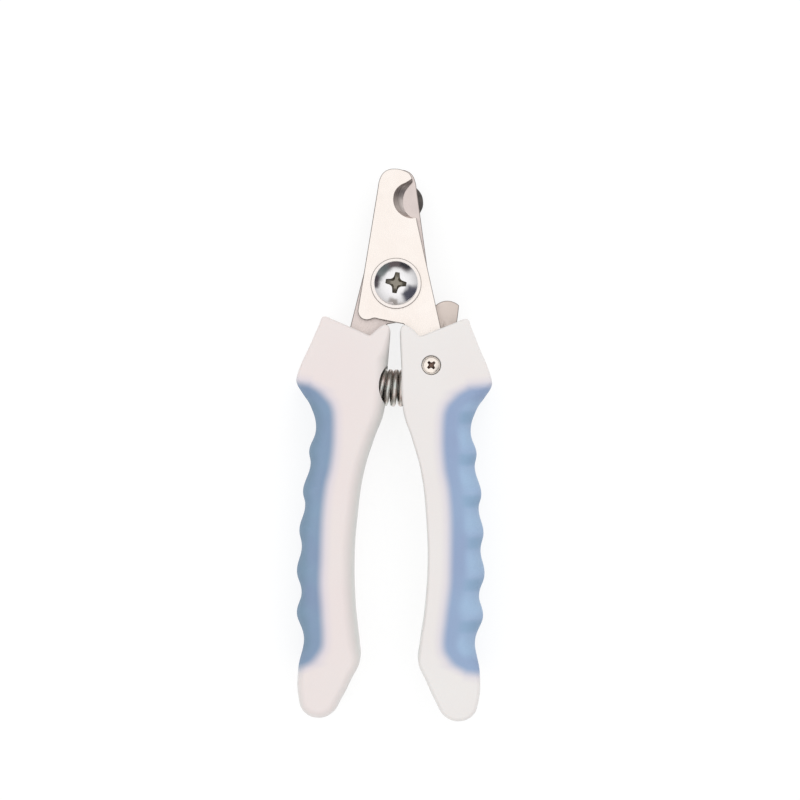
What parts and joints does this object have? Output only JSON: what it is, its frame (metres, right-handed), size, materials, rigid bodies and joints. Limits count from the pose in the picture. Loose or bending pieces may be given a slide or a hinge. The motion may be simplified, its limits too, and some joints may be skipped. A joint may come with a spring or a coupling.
{
  "type": "pet nail trimmer",
  "caption": "Plier-type pet nail trimmer with notched steel blades on a pivot screw, sprung moulded handles with scalloped soft grips, a lock lever and a claw guard.",
  "frame": {"origin": "middle of the closed tool's bounding box, on the plane of the handles' back faces", "axes": "+Y along the centre line towards the blade tips, +Z out of the front face, +X to the side of the handle with the lock lever"},
  "size_m": [0.0442, 0.1246, 0.0141],
  "materials": {
    "blade_steel": "satin stainless steel sheet",
    "white_plastic": "satin warm-white moulded plastic",
    "blue_grip": "soft matt light-blue elastomer",
    "chrome": "bright plated steel",
    "fastener_steel": "plated steel",
    "guard_steel": "dark blackened steel sheet",
    "spring_steel": "drawn spring wire and strip"
  },
  "bodies": {
    "right_arm": {"front_blade": "blade_steel", "right_handle": "white_plastic", "right_grip": "blue_grip", "pivot_bolt": "chrome", "pivot_washer": "fastener_steel", "guard_washer": "fastener_steel", "pivot_spring_washer": "spring_steel", "pivot_nut": "fastener_steel", "return_spring": "spring_steel", "lock_screw": "fastener_steel", "lock_washer": "fastener_steel", "lock_sleeve": "fastener_steel", "lock_wave_washer": "spring_steel", "lock_nut": "fastener_steel"},
    "left_arm": {"rear_blade": "blade_steel", "left_handle": "white_plastic", "left_grip": "blue_grip"},
    "lock_lever": {"lock_lever": "blade_steel"},
    "quick_guard": {"quick_guard": "guard_steel"}
  },
  "joints": [
    {"name": "blade_pivot", "type": "hinge", "parent": "right_arm", "child": "left_arm", "pos_m": [0, 0.03618, 0.0074], "axis": [0, 0, -1], "range_deg": [0, 18], "stiffness_Nm_per_rad": 0.5, "springref_deg": 22.92, "deforming": ["return_spring"]},
    {"name": "lock_pivot", "type": "hinge", "parent": "right_arm", "child": "lock_lever", "pos_m": [0.00827, 0.01773, 0.00435], "axis": [0, 0, 1], "range_deg": [0, 8.5]},
    {"name": "guard_pivot", "type": "hinge", "parent": "right_arm", "child": "quick_guard", "pos_m": [0, 0.03618, 0.00395], "axis": [0, 0, 1], "range_deg": [0, 60]}
  ]
}
